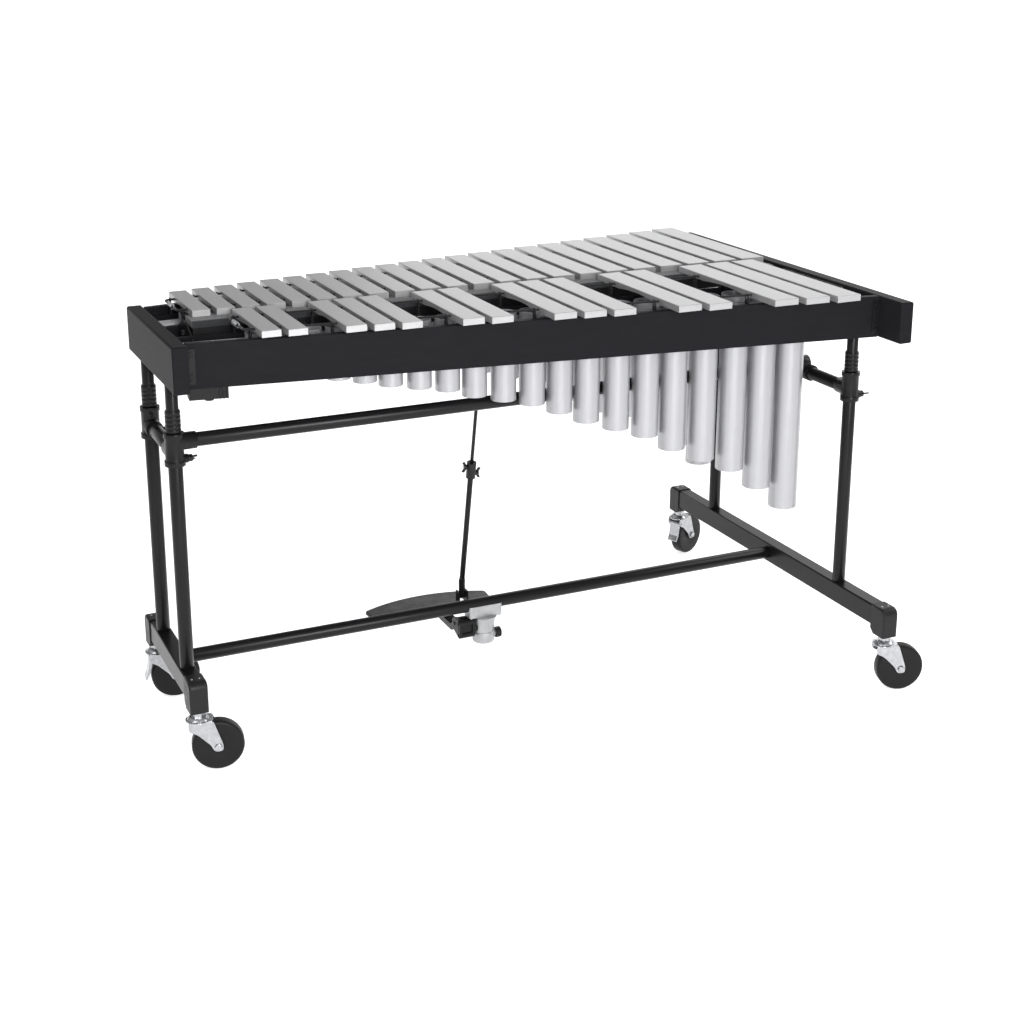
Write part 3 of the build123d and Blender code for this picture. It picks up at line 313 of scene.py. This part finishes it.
def islands(node_name):
    """Boxes (low, high) of the separate solids in a CAD node, from the lowest X."""
    bm = bmesh.new()
    bm.from_mesh(frame["nodes"][node_name].data)
    bmesh.ops.remove_doubles(bm, verts=bm.verts, dist=SAME_PLACE)
    left = set(bm.verts)
    boxes = []
    while left:
        stack = [left.pop()]
        found = []
        while stack:
            vert = stack.pop()
            found.append(vert.co.copy())
            near = [edge.other_vert(vert) for edge in vert.link_edges]
            fresh = {v for v in near if v in left}
            left -= fresh
            stack.extend(fresh)
        low = Vector([min(c[k] for c in found) for k in range(3)])
        high = Vector([max(c[k] for c in found) for k in range(3)])
        boxes.append((low, high))
    bm.free()
    return sorted(boxes, key=lambda box: (round(box[0].x, 5), round(box[0].y, 5)))


# ---- Finish of the CAD nodes --------------------------------------------------------------------
def soften(node, edge):
    """Joins the CAD mesh's flat areas into whole faces and rounds its sharp edges."""
    weld = node.modifiers.new("weld", "WELD")
    weld.merge_threshold = SAME_PLACE
    flats = node.modifiers.new("flats", "DECIMATE")
    flats.decimate_type = "DISSOLVE"
    flats.angle_limit = math.radians(FLAT_ANGLE)
    ease_edges(node, edge).harden_normals = True


PLAIN_EDGE = 0.4 * MM
EDGE = {
    "natural_bars": 0.6 * MM,
    "accidental_bars": 0.6 * MM,
    "front_rail": 1.2 * MM,
    "rear_rail": 1.2 * MM,
    "small_end_panel": 1.2 * MM,
    "large_end_panel": 1.2 * MM,
    "pedal_arm": 2.5 * MM,
    "pedal_clamp": 1.5 * MM,
    "leg_collars": 0.8 * MM,
    "rod_clamp": 1.0 * MM,
}
for node_name, node in frame["nodes"].items():
    node.data.materials.clear()
    node.data.materials.append(MATERIALS[SLOT_OF[node_name]])
    soften(node, EDGE.get(node_name, PLAIN_EDGE))


# ---- Springs ------------------------------------------------------------------------------------
def damper_coils():
    """Pressure springs under the damper; the real ones shorten as it drops, these keep one length."""
    low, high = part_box("damper_springs")
    wire = 0.9 * MM
    turns = 7.5
    radius = (high[1] - low[1]) / 2 - wire
    height = high[2] - low[2]
    bm = bmesh.new()
    for x in (low[0] + radius + wire, high[0] - radius - wire):
        centre = (x, (low[1] + high[1]) / 2, (low[2] + high[2]) / 2)
        sweep_wire(bm, coil_points(centre, ALONG_Z, height - 2 * wire, radius, turns), wire, 10)
    piece = add_piece("damper_coils", from_bmesh("damper_coils", bm), "bright_steel", "playing_frame",
                      ["damper_springs"])
    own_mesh(piece)


def cord_coils():
    """Tension springs that join the ends of each row's cord, with a hook at each end."""
    low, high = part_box("cord_springs")
    wire = 0.6 * MM
    radius = (high[2] - low[2]) / 2 - wire
    length = 40 * MM
    coiled = 0.7 * length
    turns = 20
    half_turn = [math.pi * k / 12 for k in range(13)]
    z = (low[2] + high[2]) / 2
    lower_x = (low[0] + radius + wire, high[1] - length / 2)
    higher_x = (high[0] - radius - wire, low[1] + length / 2)
    bm = bmesh.new()
    for x, y in (lower_x, higher_x):
        sweep_wire(bm, coil_points((x, y, z), ALONG_Y, coiled, radius, turns), wire, 8)
        for end in (-1, 1):
            hook = []
            for t in half_turn:
                out = coiled / 2 + radius * (1 - math.cos(t))
                hook.append(Vector((x, y + end * out, z + radius * math.sin(t))))
            sweep_wire(bm, hook, wire, 8)
    add_piece("cord_coils", from_bmesh("cord_coils", bm), "bright_steel", "playing_frame", ["cord_springs"])


damper_coils()
cord_coils()


# ---- Resonators ---------------------------------------------------------------------------------
TUBE_WALL = 1.5 * MM
BANK_RAIL_T = 2.5 * MM
TUBE_ROWS = ("natural_resonators", "accidental_resonators", "dummy_resonators")


def resonators(node_name):
    """One row of drawn tubes with eased rims."""
    bm = bmesh.new()
    lip = 0.4 * MM
    for low, high in islands(node_name):
        outer = (high.x - low.x) / 2
        inner = outer - TUBE_WALL
        height = high.z - low.z
        profile = [(outer - lip, 0), (outer, lip), (outer, height - lip), (outer - lip, height),
                   (inner + lip, height), (inner, height - lip), (inner, lip), (inner + lip, 0)]
        lathe(bm, profile, on_foot(low, high), 72, bored=True)
    add_piece(f"{node_name}_turned", from_bmesh(node_name, bm), "tube_silver", "playing_frame", [node_name])


def stoppers():
    """Pressed discs that close the tubes, with a raised rim above and a dished underside."""
    bm = bmesh.new()
    for low, high in islands("resonator_stoppers"):
        edge = (high.x - low.x) / 2
        thick = high.z - low.z
        profile = [(edge - 7 * MM, 0.8 * MM), (edge - 4 * MM, 0.1 * MM), (edge, 0), (edge, thick),
                   (edge - 2 * MM, thick), (edge - 3.5 * MM, 0.6 * thick)]
        lathe(bm, profile, on_foot(low, high), 48)
    add_piece("stoppers", from_bmesh("stoppers", bm), "tube_silver", "playing_frame", ["resonator_stoppers"])


def bank_rivets():
    """Rivet heads that fasten each tube to the two rails of its bank."""
    bm = bmesh.new()
    rail_low, rail_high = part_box("resonator_rails")
    z = (rail_low[2] + rail_high[2]) / 2
    rivet_r = 2.4 * MM
    flatness = 0.7
    out = BANK_RAIL_T + 0.1 * MM
    head = arc((0, 0), rivet_r, 0, 80, 4)
    for node_name in TUBE_ROWS:
        for low, high in islands(node_name):
            for side, edge in ((-1, low.y), (1, high.y)):
                place = Matrix.Translation(((low.x + high.x) / 2, edge + side * out, z))
                lathe(bm, [(r, side * flatness * y) for r, y in head], place, 16)
    add_piece("bank_rivets", from_bmesh("bank_rivets", bm), "bright_steel", "playing_frame")


for tube_row in TUBE_ROWS:
    resonators(tube_row)
stoppers()
bank_rivets()


# ---- Cord posts ---------------------------------------------------------------------------------
def cord_posts():
    """Moulded feet that each hold the cord between two round-tipped prongs."""
    bm = bmesh.new()
    half_w = 2.5 * MM
    prong_r = 1.3 * MM
    prong_y = 3.5 * MM
    tip = arc((0, 0), prong_r, 0, 80, 5)
    for low, high in islands("cord_posts"):
        x = (low.x + high.x) / 2
        y = (low.y + high.y) / 2
        foot_top = low.z + 3 * MM
        neck_top = high.z - 12 * MM
        for half_d, z, top in ((5.8 * MM, low.z, foot_top), (4.2 * MM, foot_top, neck_top)):
            corners = [(-half_w, -half_d), (half_w, -half_d), (half_w, half_d), (-half_w, half_d)]
            plate(bm, rounded(corners, 1.5 * MM), Vector((x, y, z)), ALONG_X, ALONG_Y, top - z)
        for side in (-1, 1):
            rise = high.z - neck_top - prong_r
            profile = [(prong_r, 0)] + [(r, rise + h) for r, h in tip]
            lathe(bm, profile, upright(x, y + side * prong_y, neck_top), 16)
    add_piece("posts", from_bmesh("posts", bm), "black_plastic", "playing_frame", ["cord_posts"])


cord_posts()


# ---- Stand details ------------------------------------------------------------------------------
def leg_wing_bolts():
    """Wing bolts with a domed hub and two leaf-shaped wings, at the foot of each clamp."""
    hub_r = 6.5 * MM
    hub_l = 9 * MM
    ease = 0.6 * MM
    crown = 2.5 * MM
    shank_r = 3 * MM
    cast_l = 14.85 * MM
    root = 1.5 * MM
    leaf_t = 3 * MM
    turns = (60, 20, 75, 40)
    leaf = [(1.5, 3.0), (9.0, 3.5), (14.5, 10.0), (14.0, 14.5), (8.5, 14.0), (1.5, 7.0)]
    for name, turn in zip(CASTERS, turns):
        node_name = f"wing_bolt_{name}"
        low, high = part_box(node_name)
        axis_point = JOINTS[f"leg_screw_{name}_turn"]["pos_m"]
        start = high[0] - cast_l
        bm = bmesh.new()
        dome = [(shank_r, low[0] - start), (shank_r, 0), (hub_r - ease, 0), (hub_r, ease)]
        for step in range(6):
            rise = math.radians(15 * step)
            dome.append((hub_r * math.cos(rise), hub_l - crown + crown * math.sin(rise)))
        lathe(bm, dome, sideways(start, axis_point[1], axis_point[2]), 32)
        roll = Matrix.Rotation(math.radians(turn), 3, "X")
        for side in (-1, 1):
            up = roll @ Vector((0, 0, side))
            base = Vector((start, axis_point[1], axis_point[2])) + roll @ Vector((0, side * root, 0))
            outline = [p * MM for p in rounded(leaf, 3.0)]
            plate(bm, outline, base, ALONG_X, up, leaf_t)
        piece = add_piece(f"{node_name}_cast", from_bmesh(node_name, bm), "black_plastic",
                          f"leg_screw_{name}", [node_name])
        ease_edges(piece, 0.9 * MM)


def clamp_screws():
    """Socket-head screws under the crossbar sockets of the leg clamps."""
    bm = bmesh.new()
    screw = [(r * MM, y * MM) for r, y in ((3.6, 0), (3.6, 3.4), (3.0, 4), (1.8, 4), (1.6, 2.2))]
    socket_wall = 3.5 * MM
    sunk = 0.6 * MM
    inset = 9 * MM
    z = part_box("side_crossbars")[0][2] - socket_wall + sunk
    for low, high in islands("side_crossbars"):
        x = (low.x + high.x) / 2
        for y in (low.y + inset, high.y - inset):
            lathe(bm, screw, downward(x, y, z), 24)
    add_piece("clamp_screws", from_bmesh("clamp_screws", bm), "black_tube", "stand")


def cap_rivets():
    """Two rivets through the shoulder of each foot cap."""
    bm = bmesh.new()
    head = [(2.2 * MM, 0), (2.0 * MM, 0.8 * MM), (1.2 * MM, 1.3 * MM)]
    from_end = 21 * MM
    half_pitch = 7 * MM
    sunk = 0.1 * MM
    for low, high in islands("foot_end_caps"):
        x = (low.x + high.x) / 2
        y = high.y - from_end if high.y > MID_Y else low.y + from_end
        for step in (-half_pitch, half_pitch):
            lathe(bm, head, upright(x + step, y, high.z - sunk), 20)
    add_piece("cap_rivets", from_bmesh("cap_rivets", bm), "bright_steel", "stand")


# ---- Pedal gear ---------------------------------------------------------------------------------
def pedal_screws():
    """Socket screws under the pedal clamp's ears."""
    low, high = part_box("pedal_clamp")
    bm = bmesh.new()
    screw = [(r * MM, y * MM) for r, y in ((3.4, 0), (3.4, 2.6), (2.8, 3.2), (1.7, 3.2), (1.5, 1.5))]
    inset = 6 * MM
    half_pitch = 9 * MM
    ears_under = 126 * MM
    for x in (low[0] + inset, high[0] - inset):
        for y in (-half_pitch, half_pitch):
            lathe(bm, screw, downward(x, MID_Y + y, ears_under), 24)
    add_piece("pedal_screws", from_bmesh("pedal_screws", bm), "bright_steel", "stand")


def pedal_casting():
    """Rounded clevis on the clamp's side: two cheeks, two cross lobes with a web, and the pin."""
    low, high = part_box("pedal_bracket")
    cheek_t = 6 * MM
    arm_w = 22.6 * MM
    pin_out = 2 * MM
    lobe_r = 6 * MM
    lobe_ease = 1.5 * MM
    lobe_heights = (7 * MM, 33 * MM)
    web_in = 8 * MM
    web_h = 26 * MM
    web_t = 4 * MM
    left = low[0] + pin_out
    width = arm_w + 2 * cheek_t
    corner = Vector((left, low[1], low[2]))
    cheek = [(0, 0), (34, 12), (40, 22), (38, 36), (24, 40), (0, 40)]
    outline = [point * MM for point in rounded(cheek, 11)]
    bm = bmesh.new()
    for x in (0, arm_w + cheek_t):
        plate(bm, outline, corner + x * ALONG_X, ALONG_Y, ALONG_Z, cheek_t)
    lobe = [(lobe_r - lobe_ease, 0), (lobe_r, lobe_ease), (lobe_r, width - lobe_ease),
            (lobe_r - lobe_ease, width)]
    for z in lobe_heights:
        lathe(bm, lobe, sideways(left, low[1] + lobe_r, low[2] + z), 32)
    web = [(0, 0), (width, 0), (width, web_h), (0, web_h)]
    plate(bm, web, corner + web_in * ALONG_Y + lobe_heights[0] * ALONG_Z, ALONG_X, ALONG_Z, web_t)
    lug = [point * MM for point in rounded([(2, 12), (24, 12), (24, 25), (2, 25)], 5)]
    lug_t = high[0] - left - width + cheek_t
    plate(bm, lug, corner + (width - cheek_t) * ALONG_X, ALONG_Y, ALONG_Z, lug_t)
    length = width + 2 * pin_out
    pin = [(3 * MM, 0), (4 * MM, 1 * MM), (4 * MM, length - 1 * MM), (3 * MM, length)]
    pivot = JOINTS["pedal_press"]["pos_m"]
    lathe(bm, pin, sideways(low[0], pivot[1], pivot[2]), 32)
    mesh = from_bmesh("pedal_casting", bm)
    piece = add_piece("pedal_casting", mesh, "black_frame", "stand", ["pedal_bracket"])
    ease_edges(piece, 1.2 * MM)


def rod_sleeve():
    """Slim sleeve that ties the pull rod's eye to the pedal's pin."""
    low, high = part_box("rod_foot")
    height = high[2] - low[2]
    bm = bmesh.new()
    profile = [(3.5 * MM, 0), (5.8 * MM, 1.5 * MM), (6.6 * MM, 6 * MM), (6.6 * MM, height - 1 * MM),
               (5.6 * MM, height)]
    lathe(bm, profile, on_foot(low, high), 32)
    add_piece("rod_sleeve", from_bmesh("rod_sleeve", bm), "black_tube", "rod_hook", ["rod_foot"])


# ---- Casters ------------------------------------------------------------------------------------
WHEEL_R = 47 * MM
WHEEL_HALF = 13 * MM
BORE_R = 4.1 * MM
TRAIL = 33 * MM
FORK_TOP = 98.5 * MM
CHEEK_IN = 14.8 * MM
CHEEK_T = 2.5 * MM


def caster_frame(name):
    """Frame at a wheel's centre with Y along the axle and X away from the swivel."""
    roll = JOINTS[f"roll_{name}"]
    axle = Vector(roll["axis"])
    turn = math.atan2(-axle.x, axle.y)
    return Matrix.Translation(Vector(roll["pos_m"])) @ Matrix.Rotation(turn, 4, "Z")


def half_wheel(sign):
    """Profile of one side of the wheel, from its bore to the middle of the tread."""
    shoulder = 6 * MM
    tread = arc((WHEEL_R - shoulder, WHEEL_HALF - shoulder), shoulder, 90, 8, 8)
    groove = ((11.0, 0), (12.0, 1.2), (13.5, 1.6), (15, 1.2), (28, 0.2))
    face = [(BORE_R, WHEEL_HALF)] + [(r * MM, WHEEL_HALF - depth * MM) for r, depth in groove]
    return [(r, sign * y) for r, y in face + tread]


def caster_wheel(name):
    """Solid wheel with a groove around its hub."""
    bm = bmesh.new()
    lathe(bm, half_wheel(-1) + list(reversed(half_wheel(1))), caster_frame(name), 96, bored=True)
    add_piece(f"wheel_{name}", from_bmesh(f"wheel_{name}", bm), "black_tyre", f"wheel_{name}",
              [f"caster_wheel_{name}"])


def caster_fork(name):
    """Pressed cheeks and top plate, the bearing race, and the axle bolt with its nut."""
    place = caster_frame(name)
    turn = place.to_3x3()
    along, across, up = (turn @ axis for axis in (ALONG_X, ALONG_Y, ALONG_Z))
    top = FORK_TOP - WHEEL_R
    half = CHEEK_IN + CHEEK_T
    head_t = 3 * MM
    cheek = [(-51 * MM, top), (-7 * MM, top), (9 * MM, 3 * MM), (8 * MM, -9 * MM), (-7 * MM, -9 * MM),
             (-13 * MM, 4 * MM), (-36 * MM, 27 * MM), (-51 * MM, 34 * MM)]
    bm = bmesh.new()
    for y in (-CHEEK_IN, CHEEK_IN + CHEEK_T):
        base = place.translation + y * across
        plate(bm, rounded(cheek, 6 * MM), base, along, up, CHEEK_T)
    near = -7 * MM
    far = -TRAIL - 22.5 * MM
    narrow = half - 5 * MM
    head = rounded([(near, -half), (near, half), (far, narrow), (far, -narrow)], 12 * MM)
    plate(bm, head, place.translation + (top - head_t) * up, along, across, head_t)
    swivel = place @ Matrix.Translation((-TRAIL, 0, top)) @ Matrix.Rotation(math.pi / 2, 4, "X")
    race = [(20 * MM, -0.1 * MM)] + arc((20.5 * MM, -1.6 * MM), 1.6 * MM, 90, -90) + [(18 * MM, -3.2 * MM)]
    lathe(bm, race, swivel, 48)
    nut_sides = 6
    bolt_sides = 32
    for y, sides in ((-half - 4 * MM, nut_sides), (half, bolt_sides)):
        bolt = [(6.2 * MM, y), (7 * MM, y + 0.8 * MM), (7 * MM, y + 3.2 * MM), (6.2 * MM, y + 4 * MM)]
        lathe(bm, bolt, place, sides)
    shaft = [(4 * MM, -half), (4 * MM, half)]
    lathe(bm, shaft, place, 32)
    fork = add_piece(f"fork_{name}", from_bmesh(f"fork_{name}", bm), "bright_steel", f"fork_{name}",
                     [f"caster_fork_{name}"])
    ease_edges(fork, 0.6 * MM)


for caster in CASTERS:
    caster_wheel(caster)
    caster_fork(caster)
leg_wing_bolts()
clamp_screws()
cap_rivets()
pedal_screws()
pedal_casting()
rod_sleeve()


# ---- Stage --------------------------------------------------------------------------------------
def plain(name, colour, roughness, glow):
    """Even finish that also gives off white light of its own."""
    mat = bpy.data.materials.new(name)
    mat.use_nodes = True
    shader = mat.node_tree.nodes["Principled BSDF"]
    shader.inputs["Base Color"].default_value = (*colour, 1)
    shader.inputs["Roughness"].default_value = roughness
    shader.inputs["Emission Color"].default_value = (1, 1, 1, 1)
    shader.inputs["Emission Strength"].default_value = glow
    return mat


def floor():
    """Wide pale ground under the wheels."""
    half = 40.0
    corners = ((-half, -half), (half, -half), (half, half), (-half, half))
    bm = bmesh.new()
    bm.faces.new([bm.verts.new((x, y, 0)) for x, y in corners])
    mesh = from_bmesh("floor", bm)
    mesh.materials.append(plain("pale_floor", (0.93, 0.93, 0.93), 0.9, glow=0.62))
    piece = bpy.data.objects.new("floor", mesh)
    bpy.context.scene.collection.objects.link(piece)


def area_light(name, place, target, size, power):
    """Soft rectangular lamp that faces a target."""
    light = bpy.data.lights.new(name, "AREA")
    light.shape = "RECTANGLE"
    light.size, light.size_y = size
    light.energy = power
    lamp = bpy.data.objects.new(name, light)
    lamp.location = place
    lamp.rotation_euler = (Vector(target) - Vector(place)).to_track_quat("-Z", "Y").to_euler()
    bpy.context.scene.collection.objects.link(lamp)


def camera():
    """Camera at the photograph's viewing angle, placed from the instrument's middle."""
    yaw = 0.430
    pitch = 0.280
    to_left = 1.2673
    in_front = 2.8073
    eye_height = 1.4558
    data = bpy.data.cameras.new("camera")
    data.lens = 57.9
    data.sensor_width = 36.0
    data.shift_x = 0.0052
    data.shift_y = -0.1092
    data.clip_end = 100
    body = bpy.data.objects.new("camera", data)
    body.location = (MID_X - to_left, MID_Y - in_front, eye_height)
    body.rotation_euler = (math.pi / 2 - pitch, 0, -yaw)
    bpy.context.scene.collection.objects.link(body)
    bpy.context.scene.camera = body


def studio_walls():
    """Surroundings: brightest at the horizon, dark a little higher up and middling overhead."""
    world = bpy.data.worlds.new("studio")
    bpy.context.scene.world = world
    world.use_nodes = True
    nodes = world.node_tree.nodes
    link = world.node_tree.links.new
    coords = nodes.new("ShaderNodeTexCoord")
    split = nodes.new("ShaderNodeSeparateXYZ")
    ramp = nodes.new("ShaderNodeValToRGB")
    levels = ((0.0, 1.0), (0.14, 0.80), (0.27, 0.27), (0.62, 0.60))
    for height, _ in levels[1:-1]:
        ramp.color_ramp.elements.new(height)
    for element, (height, level) in zip(ramp.color_ramp.elements, levels):
        element.position = height
        element.color = (level, level, level, 1)
    link(coords.outputs["Generated"], split.inputs["Vector"])
    link(split.outputs["Z"], ramp.inputs["Fac"])
    link(ramp.outputs["Color"], nodes["Background"].inputs["Color"])


bpy.context.scene.view_settings.view_transform = "Standard"
floor()
camera()
MIDDLE = (MID_X, MID_Y, 0.5)
area_light("front", (-0.6, -3.4, 1.5), MIDDLE, (1.2, 1.4), 85)
area_light("key", (-2.6, -1.6, 3.0), MIDDLE, (1.8, 1.8), 20)
area_light("side", (3.4, -0.6, 2.2), MIDDLE, (1.6, 2.2), 40)
area_light("back", (2.6, 3.0, 2.2), MIDDLE, (3.6, 1.4), 28)
studio_walls()
